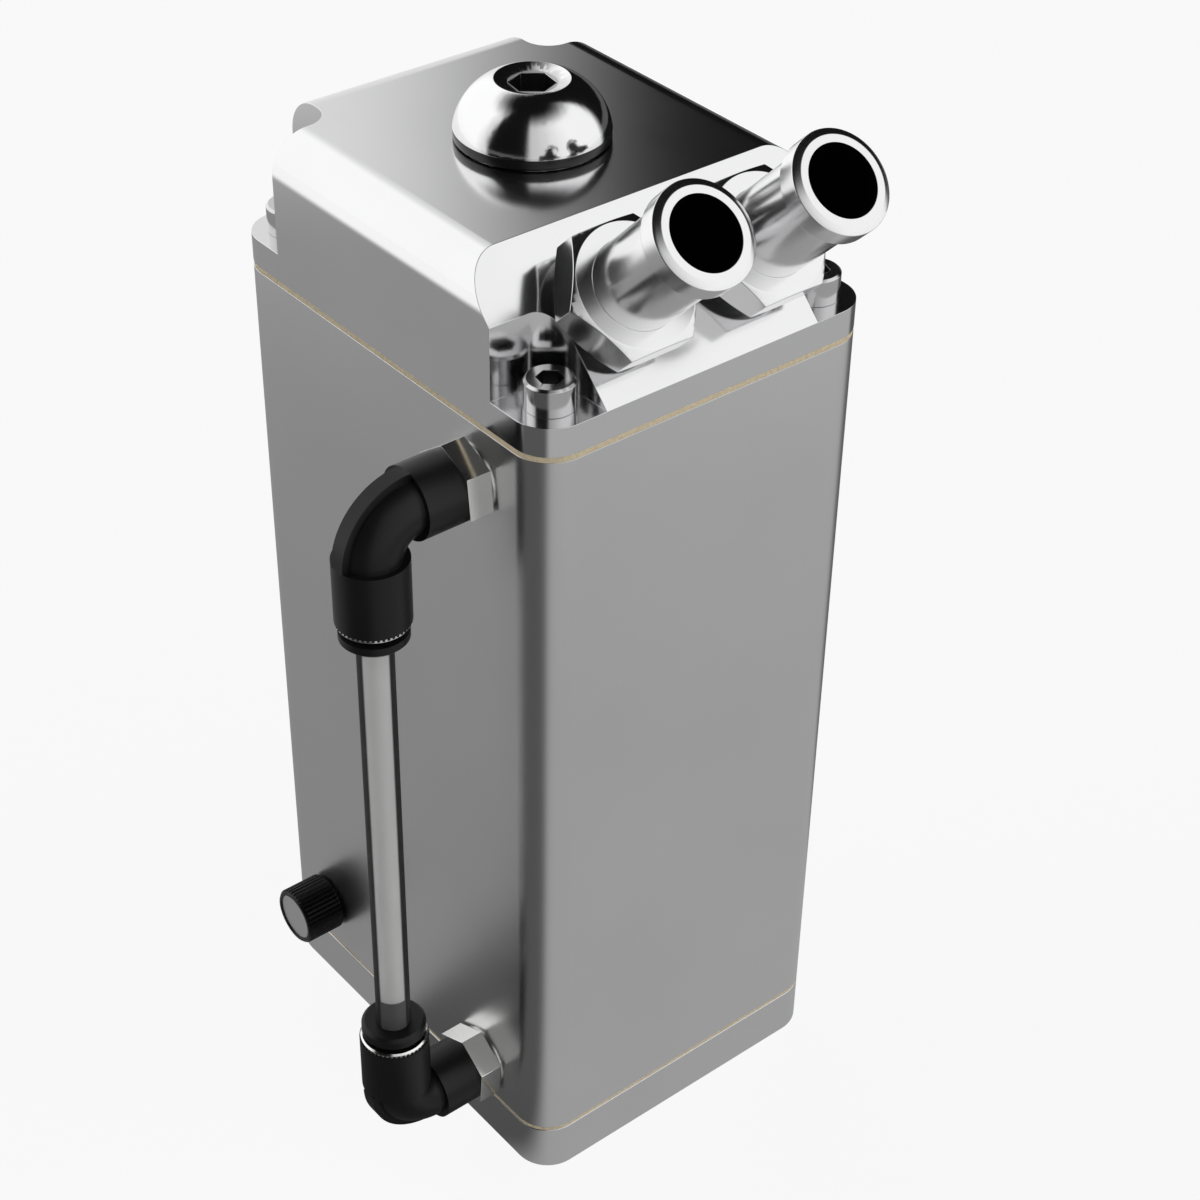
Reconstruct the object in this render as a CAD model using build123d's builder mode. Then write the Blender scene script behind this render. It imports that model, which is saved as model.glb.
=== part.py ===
from build123d import *
import os
from math import cos, radians, sin, sqrt, tan

os.makedirs("parts", exist_ok=True)

# Millimetres, +Z up, origin at the centre of the footprint on the underside of the base plate.
# The hose fittings face the front (-Y), the sight gauge and the drain are on the left (-X).

# Footprint and stacked heights
BODY_W = 70.0  # left to right
BODY_D = 86.3  # front to back
BODY_R = 7.0  # vertical corners
BASE_T = 10.2
BASE_GASKET_T = 0.8
TANK_H = 152.0
LID_GASKET_T = 1.0
FLANGE_T = 5.3
BLOCK_H = 21.6  # lid block above its flange
SLOPE = 45.0  # degrees, the lid's port face from the horizontal
GASKET_INSET = 0.1  # gasket edge inside the metal's edge
DRILL_OVER = 1.0  # holes right through run this far past the wall
RING_CLEAR = 0.05  # ring seal of a moving piece, off the faces on both its sides
RING_LOOSE = 0.1  # radial, the same ring round its stem

# Extruded tank section
WALL = 3.0
CAVITY_R = 2.0  # where the walls meet the corner posts
POST = 12.2  # corner posts that the screws run into, from the outer faces
POST_R = 5.0
PAD_W = 16.0  # ribs inside the walls that thicken them for threads
PAD_T = 3.0
BRACKET_PAD_T = 6.0

# Baffle plate in a rebate at the top of the tank
BAFFLE_T = 1.5
BAFFLE_LEDGE = 1.2
BAFFLE_FIT = 0.1
BAFFLE_HOLE_D = 6.0
BAFFLE_PITCH = 10.0
BAFFLE_COLUMNS = 4
BAFFLE_ROWS = 6

# Lid
LID_WALL = 5.0
LID_TOP_FILLET = 7.4
NOTCH_X = 12.7  # corner notches for the screw heads
NOTCH_Y = 13.2
NOTCH_R = 5.0
NOTCH_WALL = 3.6  # between a notch and the pocket under the lid

# Socket head cap screws
SCREW_INSET = 7.0  # from the outer faces
SCREW_D = 5.0
SCREW_HEAD_D = 8.5
SCREW_HEAD_H = 5.0
SCREW_CHAMFER = 0.4
SCREW_HEX = 4.0
SCREW_HEX_DEPTH = 2.5
SCREW_CLOCK = 21.0  # degrees
LID_SCREW_L = 20.0
BASE_SCREW_L = 16.0
SHANK_FIT = 0.05  # radial, thread in its tapped hole
TAP_RUNOUT = 2.0  # tapped hole past the screw's end
CLEAR_FIT = 0.25  # radial, shank through a plate or gasket
HEAD_FIT = 0.5  # radial, screw head in its counterbore
HEAD_SUNK = 0.4  # screw head above the underside of the base

# Hose fittings on the sloped face
PORT_SPACING = 27.4
PORT_THREAD_D = 14.0
PORT_THREAD_L = 7.0
PORT_DEPTH = 10.0
PORT_BORE_D = 10.4
PORT_SEAL_D = 17.0
PORT_SEAL_T = 2.6
FITTING_HEX = 21.4
FITTING_HEX_T = 7.1
FITTING_HEX_BEVEL = 0.3  # bevel circle inside the flats
HEX_BEVEL_ANGLE = 30.0
TAIL_D = 15.2
TAIL_BORE_D = 12.3
TAIL_LIP_D = 15.0
TAIL_L = 21.8  # from the hexagon to the mouth
BEAD_D = 17.5
BEAD_LAND = 3.5
BEAD_LIP = 0.6
BEAD_RAMP = 0.5

# Filler plug
PLUG_FROM_SLOPE = 25.85  # its centre behind the upper edge of the slope
PLUG_D = 26.6
PLUG_RIM_H = 1.8
PLUG_H = 10.2
PLUG_FLAT_D = 12.8
PLUG_DOME_BULGE = 1.45
PLUG_DISH = 0.8
PLUG_DISH_FLOOR_D = 8.4
PLUG_HEX = 7.0
PLUG_HEX_DEPTH = 5.0
PLUG_CLOCK = 21.0  # degrees
PLUG_STEM_D = 18.0
PLUG_STEM_L = 9.0
PLUG_GAP = 0.2
PLUG_SEAL_D = 2.0  # section of the ring
PLUG_GROOVE_FIT = 0.2  # radial, round the ring

# Drain screw and its knurled knob
DRAIN_FROM_BACK = 15.75
DRAIN_LIFT = 9.9  # above the tank's lower end
KNOB_D = 11.8
KNOB_L = 8.5
KNOB_GAP = 0.3
KNOB_CHAMFER = 0.5
KNURL_COUNT = 40
KNURL_DEPTH = 0.35
DRAIN_HEAD_D = 9.6
DRAIN_HEAD_SUNK = 0.25
DRAIN_HEAD_STEP = 1.2  # room for the ring between the head and the tank
DRAIN_SCREW_D = 6.0
DRAIN_SCREW_L = 6.0  # thread inside the wall
PRESS_FIT = 0.03  # radial

# Sight gauge: push-in elbows and the tube between them
GAUGE_FROM_FRONT = 18.65
GAUGE_LIFT = 7.2  # lower stud above the tank's lower end
GAUGE_DROP = 10.3  # upper stud below the tank's upper end
GAUGE_REACH = 19.85  # tube axis from the tank's face
TUBE_D = 6.35
TUBE_BORE_D = 4.35
TUBE_FIT = 0.05  # radial
SEAL_FIT = 0.02
STUD_HEX = 13.0
STUD_HEX_T = 5.1
STUD_CLOCK_HIGH = 24.0  # degrees
STUD_CLOCK_LOW = 35.0
STUD_THREAD_D = 9.7
STUD_THREAD_L = 6.5
STUD_SPIGOT_D = 8.0
STUD_SPIGOT_L = 7.0
STUD_BORE_D = 4.6
SWIVEL_SEAL_D = 1.0  # section of the ring
SWIVEL_GROOVE_W = 1.2
SWIVEL_GROOVE_FROM_TIP = 2.0
ELBOW_D = 12.9
ELBOW_NECK_D = 10.8
ELBOW_BEND_R = 7.2
ELBOW_RIB_T = 3.0
ELBOW_BARREL_L = 19.1  # from the corner of the two bores to the barrel's mouth
ELBOW_TUBE_STOP = 6.6
GLAND_D = 10.0
GLAND_START = 10.5
GLAND_L = 2.2
GUIDE_D = 10.8
GUIDE_BORE_D = 8.9
GUIDE_LIP_D = 12.5
GUIDE_LIP_T = 0.9
GUIDE_LIP_CHAMFER = 0.3
GRIP_T = 0.5
GRIP_BORE_D = 6.6
GRIP_TEETH = 8
GRIP_SLOT_W = 0.8
GRIP_SLOT_L = 1.2
COLLET_D = 8.7
COLLET_FLANGE_D = 11.9
COLLET_FLANGE_T = 2.0
COLLET_FLANGE_CHAMFER = 0.6
COLLET_STAND = 1.2  # flange off the guide's lip at rest
COLLET_LEAD = 1.3  # collet's inner end off the grip ring at rest
COLLET_SLOTS = 4
COLLET_SLOT_W = 0.8
COLLET_SLOT_L = 3.5

# Threaded holes for a bracket, on the back, half way up the tank
BRACKET_HOLE_D = 5.0
BRACKET_HOLE_DEPTH = 7.5
BRACKET_SPACING = 60.0

# Levels and faces worked out from the sizes above
tank_z = BASE_T + BASE_GASKET_T
tank_top = tank_z + TANK_H
lid_z = tank_top + LID_GASKET_T
flange_top = lid_z + FLANGE_T
lid_top = flange_top + BLOCK_H
left_x = -BODY_W / 2
front_y = -BODY_D / 2
back_y = BODY_D / 2
slope_run = BLOCK_H / tan(radians(SLOPE))
screw_pitch = (BODY_W - 2 * SCREW_INSET, BODY_D - 2 * SCREW_INSET)
plug_y = front_y + slope_run + PLUG_FROM_SLOPE
drain_y = back_y - DRAIN_FROM_BACK
drain_z = tank_z + DRAIN_LIFT
gauge_y = front_y + GAUGE_FROM_FRONT
gauge_low_z = tank_z + GAUGE_LIFT
gauge_high_z = tank_top - GAUGE_DROP
bracket_z = tank_z + TANK_H / 2
ports = {"left": -PORT_SPACING / 2, "right": PORT_SPACING / 2}


def left_plane(y, z, out=0.0):
    """Plane on the tank's left face, its normal pointing away from the tank."""
    return Plane(origin=(left_x - out, y, z), x_dir=(0, 1, 0), z_dir=(-1, 0, 0))


def port_plane(x):
    """Plane on the lid's sloped face, half way up it, its normal pointing out of the port."""
    middle = (x, front_y + slope_run / 2, flange_top + BLOCK_H / 2)
    normal = (0, -sin(radians(SLOPE)), cos(radians(SLOPE)))
    return Plane(origin=middle, x_dir=(1, 0, 0), z_dir=normal)


def turn(plane, points, mode=Mode.ADD):
    """Revolve a closed outline of (radius, height) points about the plane's normal."""
    with BuildSketch(Plane(origin=plane.origin, x_dir=plane.x_dir, z_dir=-plane.y_dir)) as outline:
        with BuildLine():
            Polyline(*points, close=True)
        make_face()
    revolve(outline.sketch, axis=Axis(plane.origin, plane.z_dir), mode=mode)


def bore(plane, diameter, depth):
    """Cut a round hole from the plane, against its normal."""
    with BuildSketch(plane) as mouth:
        Circle(diameter / 2)
    extrude(mouth.sketch, amount=-depth, mode=Mode.SUBTRACT)


def ring_seal(plane, inner_d, section_d):
    """Ring of round section whose lowest point is on the plane."""
    with BuildSketch(Plane(origin=plane.origin, x_dir=plane.x_dir, z_dir=-plane.y_dir)) as section:
        with Locations(((inner_d + section_d) / 2, section_d / 2)):
            Circle(section_d / 2)
    revolve(section.sketch, axis=Axis(plane.origin, plane.z_dir))


def cavity_outline(grow=0.0):
    """Inside of the tank between its corner posts, as a sketch, larger all round by grow."""
    with BuildSketch() as outline:
        RectangleRounded(BODY_W - 2 * (WALL - grow), BODY_D - 2 * (WALL - grow), CAVITY_R)
        with GridLocations(BODY_W, BODY_D, 2, 2):
            RectangleRounded(2 * (POST - grow), 2 * (POST - grow), POST_R - grow, mode=Mode.SUBTRACT)
    return outline.sketch


def gasket(z, thickness):
    """Flat frame with the tank's section and four screw holes."""
    with BuildPart() as sheet:
        with BuildSketch(Plane.XY.offset(z)):
            RectangleRounded(BODY_W - 2 * GASKET_INSET, BODY_D - 2 * GASKET_INSET, BODY_R - GASKET_INSET)
            add(cavity_outline(), mode=Mode.SUBTRACT)
            with GridLocations(*screw_pitch, 2, 2):
                Circle(SCREW_D / 2 + CLEAR_FIT, mode=Mode.SUBTRACT)
        extrude(amount=thickness)
    return sheet.part


def cap_screws(seat, length):
    """Four cap screws with their heads on the seat plane and their shanks behind it."""
    with BuildPart() as screws:
        with BuildSketch(seat):
            with GridLocations(*screw_pitch, 2, 2):
                Circle(SCREW_HEAD_D / 2)
        extrude(amount=SCREW_HEAD_H)
        tops = screws.faces().group_by(Axis(seat.origin, seat.z_dir))[-1]
        chamfer(tops.edges(), SCREW_CHAMFER)
        with BuildSketch(seat):
            with GridLocations(*screw_pitch, 2, 2):
                Circle(SCREW_D / 2)
        extrude(amount=-length)
        with BuildSketch(seat.offset(SCREW_HEAD_H)):
            with GridLocations(*screw_pitch, 2, 2):
                RegularPolygon(SCREW_HEX / 2, 6, major_radius=False, rotation=SCREW_CLOCK)
        extrude(amount=-SCREW_HEX_DEPTH, mode=Mode.SUBTRACT)
    return screws.part


def write(piece, label):
    """Label a finished piece and write its STEP file."""
    piece.label = label
    export_step(piece, f"parts/{label}.step")


# Base plate with four counterbored screw holes from below
counterbore = SCREW_HEAD_H + HEAD_SUNK
base_seat = Plane.XY.rotated((180, 0, 0)).offset(-counterbore)

with BuildPart() as base_plate:
    with BuildSketch():
        RectangleRounded(BODY_W, BODY_D, BODY_R)
    extrude(amount=BASE_T)
    with Locations(Plane.XY.rotated((180, 0, 0))):
        with GridLocations(*screw_pitch, 2, 2):
            CounterBoreHole(SCREW_D / 2 + CLEAR_FIT, SCREW_HEAD_D / 2 + HEAD_FIT, counterbore, BASE_T)
write(base_plate.part, "base_plate")
write(gasket(BASE_T, BASE_GASKET_T), "base_gasket")
write(cap_screws(base_seat, BASE_SCREW_L), "base_screws")

# Tank body: an extrusion with corner posts and thread pads, machined at both ends
lid_tap = LID_SCREW_L - FLANGE_T - LID_GASKET_T + TAP_RUNOUT
base_tap = BASE_SCREW_L - (BASE_T - counterbore) - BASE_GASKET_T + TAP_RUNOUT

with BuildPart() as tank_body:
    with BuildSketch(Plane.XY.offset(tank_z)):
        RectangleRounded(BODY_W, BODY_D, BODY_R)
        add(cavity_outline(), mode=Mode.SUBTRACT)
        for pad_y in (gauge_y, drain_y):
            with Locations((left_x + WALL + PAD_T / 2, pad_y)):
                Rectangle(PAD_T, PAD_W)
        with Locations((0, back_y - WALL - BRACKET_PAD_T / 2)):
            Rectangle(PAD_W, BRACKET_PAD_T)
    extrude(amount=TANK_H)
    with BuildSketch(Plane.XY.offset(tank_top)):
        add(cavity_outline(BAFFLE_LEDGE))
    extrude(amount=-BAFFLE_T, mode=Mode.SUBTRACT)
    for tap_plane, tap_depth in ((tank_top, -lid_tap), (tank_z, base_tap)):
        with BuildSketch(Plane.XY.offset(tap_plane)):
            with GridLocations(*screw_pitch, 2, 2):
                Circle(SCREW_D / 2 + SHANK_FIT)
        extrude(amount=tap_depth, mode=Mode.SUBTRACT)
    for gauge_z in (gauge_low_z, gauge_high_z):
        bore(left_plane(gauge_y, gauge_z), STUD_THREAD_D + 2 * SHANK_FIT, WALL + PAD_T + DRILL_OVER)
    bore(left_plane(drain_y, drain_z), DRAIN_SCREW_D + 2 * SHANK_FIT, WALL + PAD_T + DRILL_OVER)
    for hole_z in (bracket_z - BRACKET_SPACING / 2, bracket_z + BRACKET_SPACING / 2):
        back = Plane(origin=(0, back_y, hole_z), x_dir=(1, 0, 0), z_dir=(0, 1, 0))
        bore(back, BRACKET_HOLE_D, BRACKET_HOLE_DEPTH)
write(tank_body.part, "tank_body")

# Perforated baffle plate, clamped in the rebate by the lid gasket
with BuildPart() as baffle_plate:
    with BuildSketch(Plane.XY.offset(tank_top)):
        add(cavity_outline(BAFFLE_LEDGE - BAFFLE_FIT))
        with GridLocations(BAFFLE_PITCH, BAFFLE_PITCH, BAFFLE_COLUMNS, BAFFLE_ROWS):
            Circle(BAFFLE_HOLE_D / 2, mode=Mode.SUBTRACT)
    extrude(amount=-BAFFLE_T)
write(baffle_plate.part, "baffle_plate")
write(gasket(tank_top, LID_GASKET_T), "lid_gasket")

# Pocket milled into the lid from below, following the sloped face
pocket_front = front_y + LID_WALL
pocket_top = lid_top - LID_WALL
slope_inside = front_y + LID_WALL / sin(radians(SLOPE))  # where the inner slope is level with the flange

with BuildPart() as lid_pocket:
    with BuildSketch(Plane.YZ.offset(left_x)):
        with BuildLine():
            Polyline(
                (pocket_front, lid_z),
                (back_y - LID_WALL, lid_z),
                (back_y - LID_WALL, pocket_top),
                (slope_inside + (pocket_top - flange_top) / tan(radians(SLOPE)), pocket_top),
                (pocket_front, flange_top - (slope_inside - pocket_front) * tan(radians(SLOPE))),
                close=True,
            )
        make_face()
    extrude(amount=BODY_W)
    with BuildSketch(Plane.XY.offset(lid_z)):
        RectangleRounded(BODY_W - 2 * LID_WALL, BODY_D - 2 * LID_WALL, CAVITY_R)
        with GridLocations(BODY_W, BODY_D, 2, 2):
            RectangleRounded(
                2 * (NOTCH_X + NOTCH_WALL), 2 * (NOTCH_Y + NOTCH_WALL), NOTCH_R + NOTCH_WALL, mode=Mode.SUBTRACT
            )
    extrude(amount=BLOCK_H + FLANGE_T, mode=Mode.INTERSECT)

# Lid: milled block with a sloped port face, four corner notches and rounded top edges
with BuildPart() as lid:
    with BuildSketch(Plane.YZ.offset(left_x)):
        with BuildLine():
            Polyline(
                (front_y, lid_z),
                (back_y, lid_z),
                (back_y, lid_top),
                (front_y + slope_run, lid_top),
                (front_y, flange_top),
                close=True,
            )
        make_face()
    extrude(amount=BODY_W)
    with BuildSketch(Plane.XY.offset(flange_top)):
        with GridLocations(BODY_W, BODY_D, 2, 2):
            RectangleRounded(2 * NOTCH_X, 2 * NOTCH_Y, NOTCH_R)
    extrude(amount=BLOCK_H, mode=Mode.SUBTRACT)
    top_face = lid.faces().sort_by(Axis.Z)[-1]
    long_edges = top_face.edges().filter_by(Axis.Y).sort_by(Axis.X)
    back_edge = top_face.edges().filter_by(Axis.X).sort_by(Axis.Y)[-1]
    fillet([long_edges[0], long_edges[-1], back_edge], LID_TOP_FILLET)
    corner_edges = lid.edges().filter_by(Axis.Z).filter_by_position(
        Axis.Z, lid_z + FLANGE_T / 2, lid_z + FLANGE_T / 2
    )
    fillet(corner_edges, BODY_R)
    add(lid_pocket.part, mode=Mode.SUBTRACT)
    with BuildSketch(Plane.XY.offset(flange_top)):
        with GridLocations(*screw_pitch, 2, 2):
            Circle(SCREW_D / 2 + CLEAR_FIT)
    extrude(amount=-FLANGE_T, mode=Mode.SUBTRACT)
    for port_x in ports.values():
        bore(port_plane(port_x), PORT_THREAD_D + 2 * SHANK_FIT, PORT_DEPTH)
    bore(Plane(origin=(0, plug_y, lid_top)), PLUG_STEM_D + 2 * SHANK_FIT, LID_WALL + DRILL_OVER)
write(lid.part, "lid")
write(cap_screws(Plane.XY.offset(flange_top), LID_SCREW_L), "lid_screws")

# Two hose fittings on the sloped face, each on its own seal
hex_top = PORT_SEAL_T + FITTING_HEX_T
mouth = hex_top + TAIL_L
bevel_r = FITTING_HEX / 2 - FITTING_HEX_BEVEL
corner_r = FITTING_HEX / 2 / cos(radians(30))
bevel_h = (corner_r - bevel_r) * tan(radians(HEX_BEVEL_ANGLE))
bead_start = mouth - BEAD_LIP - BEAD_LAND

for side, port_x in ports.items():
    face = port_plane(port_x)
    with BuildPart() as port_seal:
        turn(
            face,
            [
                (PORT_THREAD_D / 2 + SHANK_FIT, 0),
                (PORT_SEAL_D / 2, 0),
                (PORT_SEAL_D / 2, PORT_SEAL_T),
                (PORT_THREAD_D / 2 + SHANK_FIT, PORT_SEAL_T),
            ],
        )
    write(port_seal.part, f"{side}_port_seal")

    with BuildPart() as hose_fitting:
        with BuildSketch(face.offset(PORT_SEAL_T)):
            RegularPolygon(FITTING_HEX / 2, 6, major_radius=False)
        extrude(amount=FITTING_HEX_T)
        turn(
            face,
            [
                (0, PORT_SEAL_T),
                (bevel_r, PORT_SEAL_T),
                (corner_r, PORT_SEAL_T + bevel_h),
                (corner_r, hex_top - bevel_h),
                (bevel_r, hex_top),
                (0, hex_top),
            ],
            mode=Mode.INTERSECT,
        )
        turn(
            face,
            [
                (0, -PORT_THREAD_L),
                (PORT_THREAD_D / 2, -PORT_THREAD_L),
                (PORT_THREAD_D / 2, PORT_SEAL_T),
                (TAIL_D / 2, hex_top),
                (TAIL_D / 2, bead_start - BEAD_RAMP),
                (BEAD_D / 2, bead_start),
                (BEAD_D / 2, mouth - BEAD_LIP),
                (TAIL_LIP_D / 2, mouth),
                (0, mouth),
            ],
        )
        bore(face.offset(mouth), TAIL_BORE_D, mouth - PORT_SEAL_T)
        bore(face.offset(PORT_SEAL_T), PORT_BORE_D, PORT_SEAL_T + PORT_THREAD_L)
    write(hose_fitting.part, f"{side}_hose_fitting")

# Filler plug with a domed head, and the ring under its head
plug_seat = Plane(origin=(0, plug_y, lid_top + PLUG_GAP))
plug_groove_r = PLUG_STEM_D / 2 + RING_LOOSE + PLUG_SEAL_D + PLUG_GROOVE_FIT
plug_groove_h = PLUG_SEAL_D + 2 * RING_CLEAR - PLUG_GAP
rim_r = PLUG_D / 2
flat_r = PLUG_FLAT_D / 2
dish_floor = PLUG_H - PLUG_DISH

with BuildPart() as filler_plug:
    with BuildSketch(Plane(origin=plug_seat.origin, x_dir=(1, 0, 0), z_dir=(0, -1, 0))):
        with BuildLine():
            Polyline((0, 0), (rim_r, 0), (rim_r, PLUG_RIM_H))
            SagittaArc((rim_r, PLUG_RIM_H), (flat_r, PLUG_H), -PLUG_DOME_BULGE)
            Polyline((flat_r, PLUG_H), (PLUG_DISH_FLOOR_D / 2, dish_floor), (0, dish_floor), (0, 0))
        make_face()
    revolve(axis=Axis(plug_seat.origin, (0, 0, 1)))
    with BuildSketch(plug_seat):
        Circle(plug_groove_r)
        Circle(PLUG_STEM_D / 2, mode=Mode.SUBTRACT)
    extrude(amount=plug_groove_h, mode=Mode.SUBTRACT)
    with BuildSketch(plug_seat):
        Circle(PLUG_STEM_D / 2)
    extrude(amount=-PLUG_STEM_L)
    with BuildSketch(plug_seat.offset(dish_floor)):
        RegularPolygon(PLUG_HEX / 2, 6, major_radius=False, rotation=PLUG_CLOCK)
    extrude(amount=-PLUG_HEX_DEPTH, mode=Mode.SUBTRACT)
write(filler_plug.part, "filler_plug")

with BuildPart() as filler_seal:
    ring_seal(plug_seat.offset(RING_CLEAR - PLUG_GAP), PLUG_STEM_D + 2 * RING_LOOSE, PLUG_SEAL_D)
write(filler_seal.part, "filler_plug_seal")

# Drain screw, its knurled knob and its ring
knob_face = left_plane(drain_y, drain_z, KNOB_GAP)
head_back = DRAIN_HEAD_STEP - KNOB_GAP
head_front = KNOB_L - DRAIN_HEAD_SUNK
knurl_cut = KNURL_DEPTH * sqrt(2)  # square set on its corner

with BuildPart() as drain_screw:
    turn(
        knob_face,
        [
            (0, -KNOB_GAP - DRAIN_SCREW_L),
            (DRAIN_SCREW_D / 2, -KNOB_GAP - DRAIN_SCREW_L),
            (DRAIN_SCREW_D / 2, head_back),
            (DRAIN_HEAD_D / 2, head_back),
            (DRAIN_HEAD_D / 2, head_front),
            (0, head_front),
        ],
    )
write(drain_screw.part, "drain_screw")

with BuildPart() as drain_knob:
    with BuildSketch(knob_face):
        Circle(KNOB_D / 2)
        with PolarLocations(KNOB_D / 2, KNURL_COUNT):
            Rectangle(knurl_cut, knurl_cut, rotation=45, mode=Mode.SUBTRACT)
        Circle(DRAIN_HEAD_D / 2 + PRESS_FIT, mode=Mode.SUBTRACT)
    extrude(amount=KNOB_L)
    turn(
        knob_face,
        [
            (0, 0),
            (KNOB_D / 2 - KNOB_CHAMFER, 0),
            (KNOB_D / 2, KNOB_CHAMFER),
            (KNOB_D / 2, KNOB_L - KNOB_CHAMFER),
            (KNOB_D / 2 - KNOB_CHAMFER, KNOB_L),
            (0, KNOB_L),
        ],
        mode=Mode.INTERSECT,
    )
write(drain_knob.part, "drain_knob")

with BuildPart() as drain_seal:
    ring_seal(
        left_plane(drain_y, drain_z, RING_CLEAR), DRAIN_SCREW_D + 2 * RING_LOOSE, DRAIN_HEAD_STEP - 2 * RING_CLEAR
    )
write(drain_seal.part, "drain_seal")

# Sight gauge: two push-in elbows, the upper one opening down and the lower one up
gland_end = GLAND_START + GLAND_L
grip_end = gland_end + GRIP_T
lip_end = ELBOW_BARREL_L + GUIDE_LIP_T
collet_inner = grip_end + COLLET_LEAD
flange_start = lip_end + COLLET_STAND
collet_end = flange_start + COLLET_FLANGE_T
collar_end = GAUGE_REACH - STUD_HEX_T
spigot_tip = collar_end - STUD_SPIGOT_L
groove_start = spigot_tip + SWIVEL_GROOVE_FROM_TIP
groove_end = groove_start + SWIVEL_GROOVE_W
groove_r = STUD_SPIGOT_D / 2 - SWIVEL_SEAL_D
tube_seal_d = (GLAND_D - TUBE_D) / 2 - 2 * SEAL_FIT
rib_outer_r = ELBOW_BEND_R + ELBOW_D / 2
elbows = (("upper", gauge_high_z, -1, STUD_CLOCK_HIGH), ("lower", gauge_low_z, 1, STUD_CLOCK_LOW))

for level, gauge_z, up, hex_clock in elbows:
    corner = (left_x - GAUGE_REACH, gauge_y, gauge_z)
    to_tank = Plane(origin=corner, x_dir=(0, 1, 0), z_dir=(1, 0, 0))
    to_tube = Plane(origin=corner, x_dir=(0, 1, 0), z_dir=(0, 0, up))
    bend_centre = (left_x - GAUGE_REACH + ELBOW_BEND_R, gauge_y, gauge_z + up * ELBOW_BEND_R)
    bend_plane = Plane(origin=bend_centre, x_dir=(-1, 0, 0), z_dir=(0, up, 0))

    with BuildPart() as stud:
        with BuildSketch(to_tank.offset(collar_end)):
            RegularPolygon(STUD_HEX / 2, 6, major_radius=False, rotation=hex_clock)
        extrude(amount=STUD_HEX_T)
        turn(
            to_tank,
            [
                (0, spigot_tip),
                (STUD_SPIGOT_D / 2, spigot_tip),
                (STUD_SPIGOT_D / 2, groove_start),
                (groove_r, groove_start),
                (groove_r, groove_end),
                (STUD_SPIGOT_D / 2, groove_end),
                (STUD_SPIGOT_D / 2, collar_end),
                (STUD_THREAD_D / 2, GAUGE_REACH),
                (STUD_THREAD_D / 2, GAUGE_REACH + STUD_THREAD_L),
                (0, GAUGE_REACH + STUD_THREAD_L),
            ],
        )
        bore(to_tank.offset(GAUGE_REACH + STUD_THREAD_L), STUD_BORE_D, GAUGE_REACH + STUD_THREAD_L - spigot_tip)
    write(stud.part, f"{level}_elbow_stud")

    with BuildPart() as elbow_body:
        with BuildSketch(to_tank.offset(ELBOW_BEND_R)):
            Circle(ELBOW_D / 2)
        extrude(amount=collar_end - ELBOW_BEND_R)
        with BuildSketch(to_tube.offset(ELBOW_BEND_R)):
            Circle(ELBOW_D / 2)
        extrude(amount=ELBOW_BARREL_L - ELBOW_BEND_R)
        with BuildSketch(to_tube.offset(ELBOW_BEND_R)):
            Circle(ELBOW_NECK_D / 2)
        revolve(axis=Axis(bend_centre, (0, -1, 0)), revolution_arc=90 * up)
        with BuildSketch(bend_plane):
            Circle(rib_outer_r)
            Circle(ELBOW_BEND_R, mode=Mode.SUBTRACT)
            Rectangle(rib_outer_r, rib_outer_r, align=(Align.MIN, Align.MAX), mode=Mode.INTERSECT)
        extrude(amount=ELBOW_RIB_T / 2, both=True)
        bore(to_tank.offset(collar_end), STUD_SPIGOT_D + 2 * SEAL_FIT, STUD_SPIGOT_L)
        bore(to_tank.offset(spigot_tip), STUD_BORE_D, spigot_tip)
        bore(to_tube.offset(ELBOW_TUBE_STOP), TUBE_BORE_D, ELBOW_TUBE_STOP)
        bore(to_tube.offset(GLAND_START), TUBE_D + 2 * TUBE_FIT, GLAND_START - ELBOW_TUBE_STOP)
        bore(to_tube.offset(gland_end), GLAND_D, GLAND_L)
        bore(to_tube.offset(ELBOW_BARREL_L), GUIDE_D + 2 * PRESS_FIT, ELBOW_BARREL_L - gland_end)
    write(elbow_body.part, f"{level}_elbow_body")

    with BuildPart() as swivel_seal:
        seal_plane = to_tank.offset(groove_start + (SWIVEL_GROOVE_W - SWIVEL_SEAL_D) / 2)
        ring_seal(seal_plane, 2 * groove_r, SWIVEL_SEAL_D)
    write(swivel_seal.part, f"{level}_swivel_seal")

    with BuildPart() as tube_seal:
        ring_seal(to_tube.offset(GLAND_START), TUBE_D + 2 * SEAL_FIT, tube_seal_d)
    write(tube_seal.part, f"{level}_tube_seal")

    with BuildPart() as grip_ring:
        with BuildSketch(to_tube.offset(gland_end)):
            Circle(GUIDE_D / 2)
            Circle(GRIP_BORE_D / 2, mode=Mode.SUBTRACT)
            with PolarLocations(GRIP_BORE_D / 2, GRIP_TEETH):
                Rectangle(2 * GRIP_SLOT_L, GRIP_SLOT_W, mode=Mode.SUBTRACT)
        extrude(amount=GRIP_T)
    write(grip_ring.part, f"{level}_grip_ring")

    with BuildPart() as guide_ring:
        turn(
            to_tube,
            [
                (GUIDE_BORE_D / 2, grip_end),
                (GUIDE_D / 2, grip_end),
                (GUIDE_D / 2, ELBOW_BARREL_L),
                (GUIDE_LIP_D / 2, ELBOW_BARREL_L),
                (GUIDE_LIP_D / 2, lip_end - GUIDE_LIP_CHAMFER),
                (GUIDE_LIP_D / 2 - GUIDE_LIP_CHAMFER, lip_end),
                (GUIDE_BORE_D / 2, lip_end),
            ],
        )
    write(guide_ring.part, f"{level}_guide_ring")

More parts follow.
